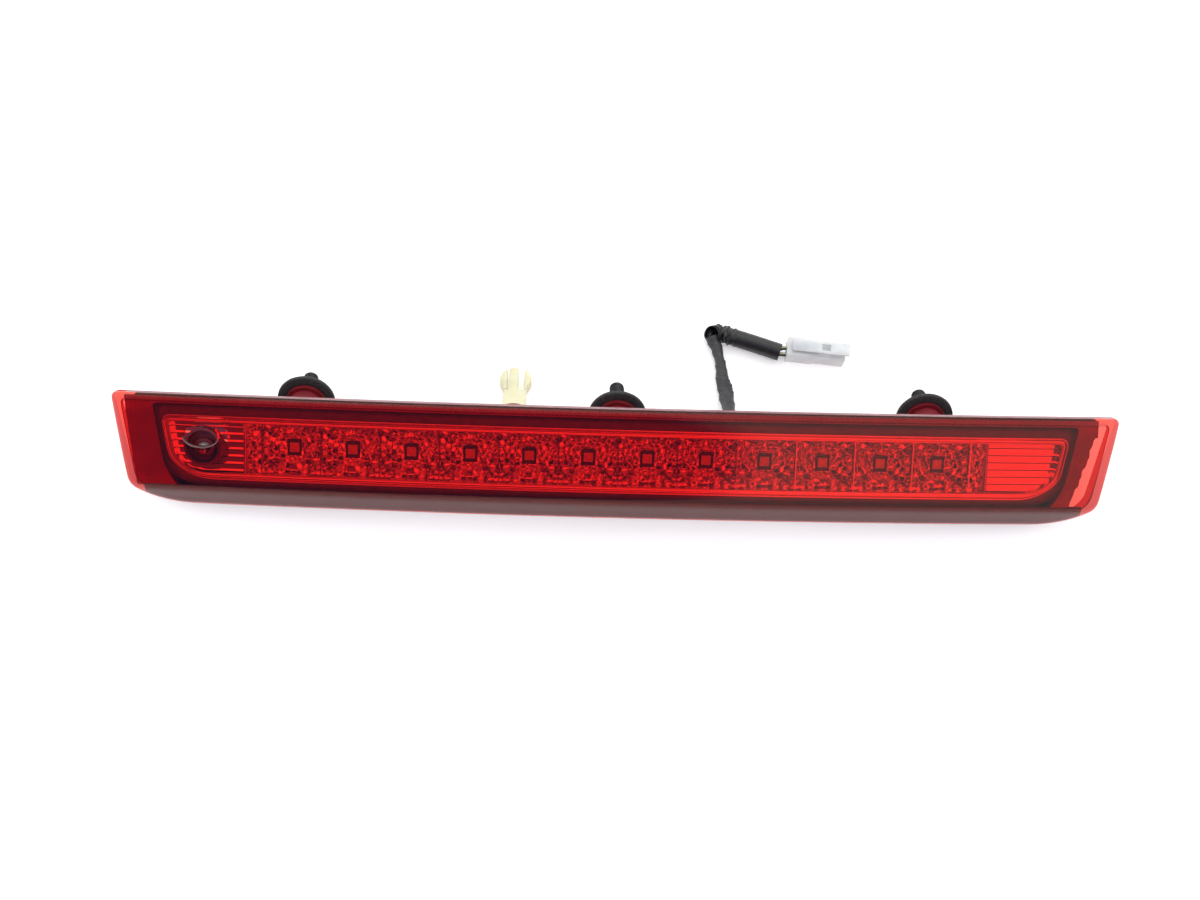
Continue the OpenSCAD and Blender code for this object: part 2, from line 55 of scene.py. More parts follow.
# Height and depth of the lens's front surface, from its lower edge to its top.
FACE = [
    (-24.9, 12.7), (-LENS_LOW, SLOPE_DEPTH), (-19.85, 6.1), (-16.6, 1.75), (CREASE_Z, 0.95),
    (-14.6, 0.62), (-10, 0.3), (-4, 0), (8, 0), (14, 0.15), (17, 0.4), (19, 0.62), (21.4, 0.95),
]
TURN = Matrix(((1, 0, 0), (0, math.sin(LEAN), math.cos(LEAN)), (0, -math.cos(LEAN), math.sin(LEAN))))


def to_row(p):
    """Points of the lamp's frame, in mm, to the row frame, in metres."""
    p = np.asarray(p, float)
    y = p[..., 1] * math.sin(LEAN) + p[..., 2] * math.cos(LEAN) + REST_Y
    z = -p[..., 1] * math.cos(LEAN) + p[..., 2] * math.sin(LEAN) + REST_Z
    return np.stack([p[..., 0], y, z], -1) * 0.001


def sag(x):
    """Depth of the plan curve at X."""
    return PLAN_R - np.sqrt(PLAN_R**2 - x**2)


def bend(x, depth, z):
    """Lamp points at X, at a depth behind the curved face, and at height z."""
    x, depth, z = np.broadcast_arrays(*(np.asarray(v, float) for v in (x, depth, z)))
    return np.stack([x, PLAN_R - np.sqrt((PLAN_R - depth) ** 2 - x**2), z], -1)


def along(s, p):
    """Lamp points given in a frame that has moved and turned s mm along the plan curve."""
    p, a = np.asarray(p, float), s / PLAN_R
    r = PLAN_R - p[..., 1]
    x = np.sin(a) * r + np.cos(a) * p[..., 0]
    y = PLAN_R - np.cos(a) * r + np.sin(a) * p[..., 0]
    return np.stack([x, y, p[..., 2]], -1)


def on_stud(x, p):
    """Lamp points given in a stud's frame, whose Z runs out of the rear wall along the stud."""
    y = REAR_WALL + sag(x) + p[..., 2] * math.cos(STUD_TILT) + p[..., 1] * math.sin(STUD_TILT)
    z = STUD_ROOT_Z + p[..., 2] * math.sin(STUD_TILT) - p[..., 1] * math.cos(STUD_TILT)
    return np.stack([x + p[..., 0], y, z], -1)


# ---------------------------------------------------------------- mesh helpers


def link(name, data):
    """A new object with the given data, in the scene."""
    obj = bpy.data.objects.new(name, data)
    bpy.context.scene.collection.objects.link(obj)
    return obj


def make(name, points, faces, body="lamp", smooth=True, materials=()):
    """A piece from points in the row frame, in metres."""
    mesh = bpy.data.meshes.new(name)
    mesh.from_pydata([tuple(p) for p in np.asarray(points).reshape(-1, 3)], [], faces)
    mesh.validate()
    for m in materials:
        mesh.materials.append(m)
    mesh.polygons.foreach_set("use_smooth", [smooth] * len(mesh.polygons))
    obj = link(name, mesh)
    if body:
        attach(obj, body)
    return obj


def make_joined(name, parts, body="lamp", materials=(), smooth=True):
    """A piece from several parts, each of them points, faces and a material slot."""
    points, faces, slots, n = [], [], [], 0
    for p, f, slot in parts:
        p = np.asarray(p, float).reshape(-1, 3)
        points.append(p)
        faces += [tuple(i + n for i in face) for face in f]
        slots += [slot] * len(f)
        n += len(p)
    obj = make(name, np.concatenate(points), faces, body, smooth, materials)
    if len(obj.data.polygons) == len(slots):
        obj.data.polygons.foreach_set("material_index", slots)
    return obj


def quads(rows, cols, wrap=False, start=0, flip=False):
    """Faces of a grid of points in row order; wrap closes each row."""
    faces, last = [], cols if wrap else cols - 1
    for i in range(rows - 1):
        near, far = start + i * cols, start + (i + 1) * cols
        for j in range(last):
            k = (j + 1) % cols
            f = (near + j, near + k, far + k, far + j)
            faces.append(f[::-1] if flip else f)
    return faces


def outwards(mesh, merge=None):
    """Merges points closer than merge metres, if it is given, and turns all the faces outwards."""
    bm = bmesh.new()
    bm.from_mesh(mesh)
    if merge:
        bmesh.ops.remove_doubles(bm, verts=bm.verts, dist=merge)
    bmesh.ops.recalc_face_normals(bm, faces=bm.faces)
    bm.to_mesh(mesh)
    bm.free()


def angles(n):
    """n equal steps round a circle."""
    return np.arange(n) * 2 * np.pi / n


def lathe(profile, n, close=True):
    """Points and faces of a (radius, height) profile turned round Z; close joins the profile's two ends."""
    a, rows = angles(n), len(profile)
    r, h = np.asarray(profile, float).T[:, :, None]
    pts = np.stack([r * np.cos(a), r * np.sin(a), np.broadcast_to(h, (rows, n))], -1)
    faces = quads(rows, n, wrap=True)
    if close:
        m = (rows - 1) * n
        faces += [(m + j, m + (j + 1) % n, (j + 1) % n, j) for j in range(n)]
    return pts, faces


def spline(points, step):
    """Points every step mm on a smooth curve through the given ones."""
    p = np.asarray(points, float)
    q = np.concatenate([[2 * p[0] - p[1]], p, [2 * p[-1] - p[-2]]])
    out = []
    for i in range(len(p) - 1):
        n = max(2, int(np.linalg.norm(p[i + 1] - p[i]) / step + 0.5))
        a, b, c, d = q[i : i + 4]
        square, cube = 2 * a - 5 * b + 4 * c - d, 3 * b - a - 3 * c + d
        out += [0.5 * (2 * b + (c - a) * t + square * t * t + cube * t**3) for t in np.arange(n) / n]
    return np.array([*out, p[-1]])


def unit(v):
    """Rows scaled to length 1."""
    return v / np.linalg.norm(v, axis=1)[:, None]


def across(t):
    """Side and up directions across the travel directions t."""
    side = unit(np.cross(t, [0.0, 0.0, 1.0]))
    return side, np.cross(side, t)


def run_of(path):
    """Distance along a path to each of its points."""
    return np.concatenate([[0], np.cumsum(np.linalg.norm(np.diff(path, axis=0), axis=1))])


def tube(path, side, up, wide, high):
    """Rings of points round a path, from the half width and half height at each point and angle."""
    a = angles(wide.shape[1])
    over = (np.cos(a) * wide)[..., None] * side[:, None]
    return path[:, None] + over + (np.sin(a) * high)[..., None] * up[:, None]


def refined(node, name, width, material, body="lamp"):
    """A copy of a CAD node whose edges are rounded, width mm wide."""
    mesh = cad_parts[node].data.copy()
    mesh.materials.clear()
    bm = bmesh.new()
    bm.from_mesh(mesh)
    bmesh.ops.remove_doubles(bm, verts=bm.verts, dist=2e-6)
    bmesh.ops.dissolve_limit(bm, angle_limit=math.radians(1.5), verts=bm.verts, edges=bm.edges)
    bm.to_mesh(mesh)
    bm.free()
    mesh.materials.append(material)
    mesh.polygons.foreach_set("use_smooth", [True] * len(mesh.polygons))
    obj = link(name, mesh)
    bevel = obj.modifiers.new("edges", "BEVEL")
    bevel.width = width * 0.001
    bevel.segments = 2
    bevel.limit_method = "ANGLE"
    bevel.angle_limit = math.radians(35)
    bevel.harden_normals = True
    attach(obj, body)
    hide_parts(node)
    return obj


# ---------------------------------------------------------------- materials


def new_material(name):
    """An empty material with its nodes, its links and its output."""
    m = bpy.data.materials.new(name)
    m.use_nodes = True
    m.node_tree.nodes.clear()
    out = m.node_tree.nodes.new("ShaderNodeOutputMaterial")
    return m, m.node_tree.nodes, m.node_tree.links, out


def noise(nodes, links, scale, detail=3.0, rough=0.5):
    """A noise pattern fixed to the object."""
    coords = nodes.new("ShaderNodeTexCoord")
    n = nodes.new("ShaderNodeTexNoise")
    n.inputs["Scale"].default_value = scale
    n.inputs["Detail"].default_value = detail
    n.inputs["Roughness"].default_value = rough
    links.new(coords.outputs["Object"], n.inputs["Vector"])
    return n.outputs["Fac"]


def span(nodes, links, value, low, high, start=0.3, end=0.7):
    """A value that goes from low to high while the given one goes from start to end."""
    r = nodes.new("ShaderNodeMapRange")
    r.inputs["From Min"].default_value = start
    r.inputs["From Max"].default_value = end
    r.inputs["To Min"].default_value = low
    r.inputs["To Max"].default_value = high
    links.new(value, r.inputs["Value"])
    return r


def blend_colours(nodes, links, value, a, b):
    """A colour that goes from a to b with the value; the mix node's sockets for colours are 6, 7 and 2."""
    m = nodes.new("ShaderNodeMix")
    m.data_type = "RGBA"
    m.inputs[6].default_value = (*a, 1)
    m.inputs[7].default_value = (*b, 1)
    links.new(value, m.inputs[0])
    return m.outputs[2]


def opaque(name, a, b, rough, scale, metal=0.0, bump=0.0, bump_scale=1500, **sockets):
    """An opaque material of two close colours, with uneven roughness and a fine surface."""
    m, nodes, links, out = new_material(name)
    p = nodes.new("ShaderNodeBsdfPrincipled")
    links.new(p.outputs[0], out.inputs["Surface"])
    blotch = span(nodes, links, noise(nodes, links, scale), 0, 1)
    links.new(blend_colours(nodes, links, blotch.outputs["Result"], a, b), p.inputs["Base Color"])
    wear = span(nodes, links, noise(nodes, links, scale * 1.7), *rough)
    links.new(wear.outputs["Result"], p.inputs["Roughness"])
    p.inputs["Metallic"].default_value = metal
    if bump:
        t = nodes.new("ShaderNodeBump")
        t.inputs["Strength"].default_value = 0.6
        t.inputs["Distance"].default_value = bump * 0.001
        links.new(noise(nodes, links, bump_scale, 4, 0.6), t.inputs["Height"])
        links.new(t.outputs[0], p.inputs["Normal"])
    for k, v in sockets.items():
        p.inputs[k.replace("_", " ")].default_value = v
    return m


def lens_front(name, colour):
    """Clear red plastic with a glossy face."""
    m, nodes, links, out = new_material(name)
    tint = nodes.new("ShaderNodeBsdfTransparent")
    tint.inputs["Color"].default_value = (*colour, 1)
    gloss = nodes.new("ShaderNodeBsdfGlossy")
    gloss.inputs["Color"].default_value = (1, 1, 1, 1)
    gloss.inputs["Roughness"].default_value = 0.04
    fresnel = nodes.new("ShaderNodeFresnel")
    fresnel.inputs["IOR"].default_value = 1.34
    mix = nodes.new("ShaderNodeMixShader")
    links.new(fresnel.outputs[0], mix.inputs[0])
    links.new(tint.outputs[0], mix.inputs[1])
    links.new(gloss.outputs[0], mix.inputs[2])
    links.new(mix.outputs[0], out.inputs["Surface"])
    return m


def lens_back(name, colour):
    """A surface of the lens's wall that only tints the light."""
    m, nodes, links, out = new_material(name)
    clear = nodes.new("ShaderNodeBsdfTransparent")
    clear.inputs["Color"].default_value = (*colour, 1)
    links.new(clear.outputs[0], out.inputs["Surface"])
    return m


lens_red = lens_front("lens_red", (0.955, 0.30, 0.25))
lens_inside = lens_back("lens_inside", (0.965, 0.36, 0.33))
lens_sides = lens_back("lens_sides", (0.60, 0.25, 0.27))
lens_edge = opaque("lens_edge", (0.25, 0.065, 0.08), (0.19, 0.05, 0.06), (0.35, 0.5), 150)
flute_red = opaque("lens_flutes", (0.42, 0.05, 0.07), (0.34, 0.04, 0.055), (0.25, 0.4), 120, Coat_Weight=0.4)
# the slope's dark red stands for the housing behind it, and its grey is a painted reflection of the dim
# floor
slope_dark_and_reflection = opaque("slope_dark_and_reflection", (0.11, 0.045, 0.055), (0.085, 0.033, 0.042), (0.4, 0.6), 200)
housing_red = opaque(
    "housing_red", (0.20, 0.010, 0.018), (0.15, 0.007, 0.013), (0.35, 0.5), 260,
    bump=0.03, bump_scale=2500,
)
metallised = opaque("metallised", (0.95, 0.93, 0.93), (0.90, 0.88, 0.88), (0.07, 0.12), 300, metal=1.0)
bulb_red = opaque("bulb_red", (0.10, 0.014, 0.02), (0.07, 0.01, 0.015), (0.08, 0.16), 200, Coat_Weight=0.5)
# the lip is the bulb's red made lighter and greyer as a painted highlight, and its coat catches real
# highlights too
lip_sheen_red = opaque("lip_sheen_red", (0.13, 0.06, 0.06), (0.10, 0.05, 0.05), (0.08, 0.16), 200, Coat_Weight=0.5)
# painted shade: a flat dark colour for the bezel's recess and the LED wells, where the real parts are dark
# from shade
painted_shade_dark = opaque("painted_shade_dark", (0.19, 0.12, 0.15), (0.15, 0.10, 0.12), (0.3, 0.45), 300)
facet_metal = opaque("facet_metal", (0.95, 0.93, 0.93), (0.88, 0.86, 0.86), (0.06, 0.12), 500, metal=1.0)
board_green = opaque("board_green", (0.02, 0.09, 0.045), (0.015, 0.07, 0.035), (0.3, 0.5), 400, bump=0.02)
led_white = opaque("led_white", (0.86, 0.85, 0.80), (0.78, 0.77, 0.72), (0.3, 0.45), 900)
led_window = opaque("led_window", (0.95, 0.62, 0.18), (0.85, 0.52, 0.14), (0.12, 0.25), 900, Coat_Weight=0.6)
component_black = opaque(
    "component_black", (0.02, 0.02, 0.022), (0.03, 0.03, 0.032), (0.4, 0.6), 900, bump=0.02
)
nylon_white = opaque(
    "nylon_white", (0.74, 0.75, 0.74), (0.66, 0.67, 0.67), (0.3, 0.45), 200,
    bump=0.02, Subsurface_Weight=0.15,
)
nylon_ivory = opaque(
    "nylon_ivory", (0.70, 0.68, 0.46), (0.62, 0.60, 0.38), (0.3, 0.45), 180,
    bump=0.02, Subsurface_Weight=0.15,
)
steel = opaque("steel", (0.62, 0.61, 0.60), (0.50, 0.49, 0.48), (0.25, 0.4), 500, metal=1.0, bump=0.02)
stud_black = opaque("stud_black", (0.05, 0.05, 0.052), (0.03, 0.03, 0.032), (0.22, 0.38), 700, metal=0.6)
nozzle_metal = opaque("nozzle_metal", (0.66, 0.64, 0.64), (0.58, 0.56, 0.56), (0.2, 0.32), 600, metal=0.6)
brass = opaque("brass", (0.80, 0.66, 0.38), (0.70, 0.58, 0.34), (0.2, 0.35), 600, metal=1.0)
foam_black = opaque(
    "foam_black", (0.022, 0.023, 0.024), (0.045, 0.046, 0.048), (0.85, 0.98), 900,
    bump=0.35, bump_scale=2600,
)
rubber_black = opaque("rubber_black", (0.02, 0.02, 0.021), (0.03, 0.03, 0.031), (0.5, 0.65), 500, bump=0.03)
tape_black = opaque(
    "tape_black", (0.024, 0.025, 0.027), (0.044, 0.046, 0.049), (0.42, 0.6), 350,
    bump=0.06, bump_scale=1800,
)
sleeve_black = opaque(
    "sleeve_black", (0.006, 0.006, 0.007), (0.012, 0.013, 0.014), (0.32, 0.45), 260,
    bump=0.04, bump_scale=1400,
)
wire_green = opaque("wire_green", (0.01, 0.12, 0.05), (0.008, 0.09, 0.04), (0.3, 0.45), 700, bump=0.01)
wire_black = opaque("wire_black", (0.015, 0.015, 0.016), (0.025, 0.025, 0.026), (0.3, 0.45), 700, bump=0.01)
wire_stripe = opaque("wire_stripe", (0.75, 0.70, 0.45), (0.66, 0.62, 0.40), (0.3, 0.45), 700)

# ---------------------------------------------------------------- camera


def camera():
    """The camera stands in front of the lamp's face, given in the lamp's frame, and is turned with it."""
    yaw, down, roll = (math.radians(a) for a in (1.47, 9.38, 1.79))
    look = Vector((math.sin(yaw) * math.cos(down), math.cos(yaw) * math.cos(down), -math.sin(down)))
    right = Vector((math.cos(yaw), -math.sin(yaw), 0))
    up = right.cross(look)
    rolled_right = math.cos(roll) * right + math.sin(roll) * up
    rolled_up = -math.sin(roll) * right + math.cos(roll) * up
    data = bpy.data.cameras.new("camera")
    data.lens, data.sensor_width = 48.0, 36.0
    data.clip_start, data.clip_end = 0.01, 20
    cam = link("camera", data)
    axes = Matrix((TURN @ rolled_right, TURN @ rolled_up, -(TURN @ look))).transposed().to_4x4()
    cam.matrix_world = Matrix.Translation((-0.02254, -0.21472, 0.60983)) @ axes
    bpy.context.scene.camera = cam


camera()

# ---------------------------------------------------------------- cable, sleeve, wires

CABLE = [
    (45, 7.4, 13.3), (45.1, 10, 11.7), (45.2, 13, 9.7), (45.3, 16, 7.5), (45.3, 19, 5.5), (45.1, 22, 3.8),
    (44.8, 25, 2.8), (44.3, 28, 2.4), (43.7, 31, 2.3), (43.2, 34, 2.3), (42.8, 37, 2.3), (42.4, 40, 2.3),
    (41.8, 43, 2.4), (40.8, 46, 2.6), (39.7, 48.5, 3), (39.1, 50, 3.3),
]
SLEEVE = [
    (38.9, 50.7, 4.5), (40.2, 51.4, 4.1), (42.2, 51.5, 3.7), (44.6, 51.0, 3.6),
    (47.2, 50.2, 3.65), (52, 48.6, 3.7), (56.5, 47.2, 3.7), (62, 45.4, 3.7), (67.2, 43.7, 3.7),
]
TABLE_GAP = 0.08


def taped_cable():
    """A bundle wound in cloth tape: its width changes as it twists, and the tape's edges make low steps."""
    path = spline(CABLE, 0.45)
    side, up = across(unit(np.gradient(path, axis=0)))
    run = run_of(path)
    at = [0, 10, 18, 24, 30, 37, 43, 48, run[-1]]
    wide = np.interp(run, at, [2.15, 2.3, 2.9, 3.0, 2.3, 1.9, 2.5, 2.6, 2.3])[:, None]
    high = np.interp(run, at, [2.15, 2.2, 2.0, 1.95, 2.15, 2.2, 2.1, 2.1, 2.1])[:, None]
    n, run_col = 32, run[:, None]
    a = angles(n)
    turns = run_col / 8.5 + a / (2 * np.pi) + 0.25 * np.sin(run_col / 9)
    step = (turns % 1.0) ** 0.5 * 0.6 - 0.36
    second = ((run_col / 5.2 - a / (2 * np.pi)) % 1.0) ** 3 * 0.28
    pts = tube(path, side, up, wide + step + second, high + step * 0.7 + second * 0.7)
    pts[..., 2] = np.maximum(pts[..., 2], TABLE_GAP + 0.04 * np.sin(run_col * 1.3 + a * 2))
    rows = len(path)
    faces = quads(rows, n, wrap=True) + [tuple(range(n))[::-1], tuple(range((rows - 1) * n, rows * n))]
    obj = make("cable_taped", pts * 0.001, faces, materials=[tape_black])
    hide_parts("taped_cable")
    return obj, path, float(run[-1])


def sleeve():
    """A thin hollow sleeve, straight near the connector and crumpled where it bends to its open mouth."""
    path = spline(SLEEVE, 0.3)
    run = run_of(path)
    mouth = np.array([-0.42, -0.42, 0.80])
    turned = np.clip(1 - run / 3.4, 0, 1)[:, None] ** 1.2
    side, up = across(unit(unit(np.gradient(path, axis=0)) * (1 - turned) - mouth * turned))
    n, run_col = 56, run[:, None]
    a = angles(n)
    at = [0, 1.5, 3.0, 4.6, 6.4, 8.6, 10.5, 14, 28]
    wide = np.interp(run, at, [3.2, 3.3, 3.5, 3.7, 3.8, 3.75, 3.6, 3.6, 3.6])[:, None]
    high = np.interp(run, at, [3.5, 3.4, 3.1, 2.9, 3.1, 3.3, 3.55, 3.6, 3.6])[:, None]
    crumple = np.interp(run, [0, 1.2, 3, 5, 8, 11, 14], [0.15, 0.5, 1, 1, 0.7, 0.2, 0.0])[:, None]
    fold = 0.30 * np.sin(a * 3 + run_col * 1.9)
    fold += 0.22 * np.sin(a * 5 - run_col * 2.7 + 1.0)
    fold += 0.18 * np.sin(a * 2 + run_col * 3.9 + 2.0)

    def crease(depth, place, swing, turn, width, facing):
        """A dent round the sleeve that winds about its place and is deepest where it faces."""
        off = (run_col - place - swing * np.cos(a - turn)) / width
        return -depth * np.exp(-(off**2)) * (0.5 + 0.5 * np.cos(a - facing))

    uneven = fold * crumple + crease(0.75, 4.4, 0.7, 1.2, 0.55, 1.6) + crease(0.5, 7.4, 0.9, 2.2, 0.6, 0.9)
    shell = []
    for inset in (0.0, 0.45):
        p = tube(path, side, up, wide + uneven - inset, high + uneven - inset)
        p[..., 2] = np.maximum(p[..., 2], TABLE_GAP + inset)
        shell.append(p)
    rows = len(path)
    m = rows * n
    faces = quads(rows, n, wrap=True) + quads(rows, n, wrap=True, start=m, flip=True)
    for i in (0, rows - 1):
        for j in range(n):
            k = (j + 1) % n
            q = (i * n + j, m + i * n + j, m + i * n + k, i * n + k)
            faces.append(q if i == 0 else q[::-1])
    obj = make("sleeve", np.concatenate(shell) * 0.001, faces, materials=[sleeve_black])
    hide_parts("cable_sleeve")
    return obj


def wire(name, side, colour):
    """One thin wire from inside the sleeve to the connector, with a lengthwise stripe."""
    mouth, reach = np.array([67.2, 44.1, 3.7]), np.array([3.2, 0.3, 0.0])
    route = [mouth - reach * 1.2 + [0, side * 1.0, 0]]
    for s in (0, 0.35, 0.7, 1, 1.3):
        sway = [0.1, side * (1.2 + 0.25 * math.sin(s * 3)), 0.15 * math.sin(s * 5)]
        route.append(mouth + reach * s + sway)
    path = spline(route, 0.3)
    n, radius = 20, 0.85
    r = np.full((len(path), n), radius)
    pts = tube(path, *across(unit(np.gradient(path, axis=0))), r, r)
    faces = quads(len(path), n, wrap=True)
    obj = make(name, pts * 0.001, faces, materials=[colour, wire_stripe])
    striped = (4, 5, 6)
    slots = [1 if i % n in striped else 0 for i in range(len(faces))]
    obj.data.polygons.foreach_set("material_index", slots)
    return obj


cable, cable_path, cable_run = taped_cable()
sleeve_piece = sleeve()
green = wire("wire_green_piece", 1, wire_green)
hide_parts("wire_green")
black = wire("wire_black_piece", -1, wire_black)
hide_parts("wire_black")
plug_shell = refined("connector_housing", "plug_shell", 0.35, nylon_white)
plug_latch = refined("connector_latch", "plug_latch", 0.2, nylon_white, body="latch")
plug_pins = refined("connector_terminals", "plug_pins", 0.12, brass)
plug_lock = refined("connector_lock", "plug_lock", 0.15, nylon_white)

# ---------------------------------------------------------------- outlines of the face


def outline(x_end, top, low, top_r, low_w, low_h, n=120, k=14):
    """A closed outline with leaning ends: the top, down the right, back along the bottom, up the left.

    x_end is the end's X at the height of the lens's top edge. The top corners have the radius top_r and the
    lower ones are wide arcs, low_w along the bottom and low_h up the end. A long edge has n steps, an end's
    straight part k. The numbers of points along the top and down the right are returned too.
    """
    lean = math.tan(END_LEAN)
    top_end = np.array([x_end - (LENS_TOP - top) * lean, top])
    low_end = np.array([x_end - (LENS_TOP - low) * lean, low])
    up = np.array([math.sin(END_LEAN), math.cos(END_LEAN)])

    def corner(c, a, b, steps):
        """An arc from a to b inside the sharp corner c."""
        s = np.radians(90 * np.arange(steps + 1) / steps)[:, None]
        return c + (a - c) * (1 - np.sin(s)) + (b - c) * (1 - np.cos(s))

    arc1 = corner(top_end, top_end - [top_r, 0], top_end - top_r * up, 5)
    arc2 = corner(low_end, low_end + low_h * up, low_end - [low_w, 0], 12)
    straight = arc1[-1] + (arc2[0] - arc1[-1]) * (np.arange(1, k)[:, None] / k)
    right = np.concatenate([arc1, straight, arc2])
    left = right[::-1] * [-1, 1]
    along_top = np.linspace(left[-1], right[0], n + 1)[1:-1]
    along_low = np.linspace(right[-1], left[0], n + 1)[1:-1]
    return np.concatenate([along_top, right, along_low, left]), (n - 1, len(right))


def lens_outline(inset, n=120):
    """The lens's own outline, inset mm inside its edge."""
    low_w, low_h = 22 - inset, 12 - inset * 0.5
    return outline(LENS_W / 2 - inset, LENS_TOP - inset, inset - LENS_LOW, 2.4, low_w, low_h, n)


def face_depth(z):
    """Depth of the lens's front surface at height z."""
    return np.interp(z, *zip(*FACE))


def ring_points(o, depth):
    """Row points of an outline at a depth."""
    return to_row(bend(o[:, 0], depth, o[:, 1]))


def grid_fill(o, counts, extra):
    """Points and faces that fill an outline at the lens's depth plus extra, by blending its four sides."""
    nt, ns = counts
    top = np.concatenate([o[-1:], o[: nt + 1]])
    right = o[nt : nt + ns]
    bottom = o[nt + ns - 1 : 2 * nt + ns + 1][::-1]
    left = o[2 * nt + ns :][::-1]
    u = np.linspace(0, 1, nt + 2)[None, :, None]
    v = np.linspace(0, 1, ns)[:, None, None]
    p = (1 - v) * top[None] + v * bottom[None] + (1 - u) * left[:, None] + u * right[:, None]
    p -= (1 - u) * (1 - v) * top[0] + u * (1 - v) * top[-1] + (1 - u) * v * bottom[0] + u * v * bottom[-1]
    pts = to_row(bend(p[..., 0], face_depth(p[..., 1]) + extra, p[..., 1]))
    return pts, quads(ns, nt + 2, flip=True)


# ---------------------------------------------------------------- lens


def shell(cut, round_part):
    """Rings over the lens's rounded edge and down to its rear rim, cut mm inside the outside."""
    rings = []
    for deg in (90, 72, 54, 36, 18, 0):
        c, s = math.cos(math.radians(deg)), math.sin(math.radians(deg))
        o, counts = lens_outline(cut + EDGE_R * (1 - c) * round_part)
        rings.append((o, face_depth(o[:, 1]) + EDGE_R * (1 - s) + cut))
    o, front = rings[-1]
    rim = 6.6 + (LENS_TOP + 1 - o[:, 1]) * 8 / 46.3
    rings += [(o, front * (1 - k) + rim * k) for k in (0.5, 1.0)]
    return rings, counts


def lens():
    """The hollow lens: an outer and an inner shell joined at the rear rim, open over the nozzle."""
    outside, face_back, walls, top_edge = range(4)
    outer, counts = shell(0.0, 1.0)
    inner, _ = shell(LENS_WALL, 0.5)
    n, across_top = len(outer[0][0]), counts[0]

    def band(rings, slot, flip):
        """The surface between successive rings."""
        rows = np.stack([ring_points(o, d) for o, d in rings])
        return rows, quads(len(rings), n, wrap=True, flip=flip), slot

    front, front_faces = grid_fill(outer[0][0], counts, 0.0)
    back, back_faces = grid_fill(inner[0][0], counts, LENS_WALL)
    wall, wall_faces, _ = band(outer[5:], walls, True)
    parts = [
        (front, front_faces, outside),
        band(outer[:6], outside, True),
        (wall, [f for i, f in enumerate(wall_faces) if i % n < across_top], top_edge),
        (wall, [f for i, f in enumerate(wall_faces) if i % n >= across_top], walls),
        band([outer[-1], inner[-1]], outside, True),
        band(inner, walls, False),
        (back, [f[::-1] for f in back_faces], face_back),
    ]
    obj = make_joined("lens", parts, None, [lens_red, lens_inside, lens_sides, lens_edge])
    outwards(obj.data, merge=5e-6)
    cut_nozzle(obj)
    obj.data.polygons.foreach_set("use_smooth", [True] * len(obj.data.polygons))
    obj.data.set_sharp_from_angle(angle=math.radians(34))
    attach(obj, "lamp")
    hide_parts("outer_lens")


def pocket():
    """Outline of the opening over the nozzle, (x, z) about the ball: a rounded top, a hanging arc below."""
    half, middle, rise, drop = 6.9, 4.3, 5.2, 3.8
    pts = []
    for a in angles(96):
        c, s = math.cos(a), math.sin(a)
        if s >= 0:
            x = math.copysign(abs(c) ** (0.55 if c > 0 else 0.75), c) * half
            z = middle + abs(s) ** 0.8 * rise
        else:
            x = math.copysign(abs(c) ** 0.9, c) * half
            z = middle - abs(s) ** 1.1 * drop
        pts.append((x, z))
    return np.array(pts)


def cut_nozzle(obj):
    """Cuts the nozzle's opening through a piece and leaves the result as its mesh."""
    x, z = pocket().T
    n = len(x)
    rows = [along(NOZZLE_X, np.stack([x, np.full(n, y), z + NOZZLE_Z], -1)) for y in (-4.0, 12.0)]
    faces = quads(2, n, wrap=True) + [tuple(range(n))[::-1], tuple(range(n, 2 * n))]
    cutter = make("cutter", to_row(np.stack(rows)), faces, None)
    outwards(cutter.data)
    cut = obj.modifiers.new("cut", "BOOLEAN")
    cut.operation, cut.object, cut.solver = "DIFFERENCE", cutter, "EXACT"
    evaluated = obj.evaluated_get(bpy.context.evaluated_depsgraph_get())
    mesh = bpy.data.meshes.new_from_object(evaluated)
    obj.modifiers.clear()
    obj.data = mesh
    bpy.data.objects.remove(cutter)


def slope_dark_sheet():
    """A dark sheet just behind the lower slope of the lens and inside its lower edge. Its dark red stands
    for the housing behind the slope, and its grey is a painted reflection of the dim floor below.
    """
    start_z, end_depth = -15.0, 13.2
    o, _ = lens_outline(0.7, n=200)
    x, z_low = o[(o[:, 1] < -15.6) & (np.abs(o[:, 0]) < 183)].T
    rows = [bend(x, 5.3, start_z)]
    for v in np.linspace(0, 1, 9):
        z = start_z * (1 - v) + z_low * v
        rows.append(bend(x, face_depth(z) + 2.65 - 1.6 * v, z))
    edge = face_depth(z_low) + 1.05
    rows += [bend(x, edge * (1 - k) + end_depth * k, z_low) for k in (0.5, 1.0)]
    obj = make("lens_slope_dark_sheet", to_row(np.stack(rows)), quads(len(rows), len(x)), materials=[slope_dark_and_reflection])


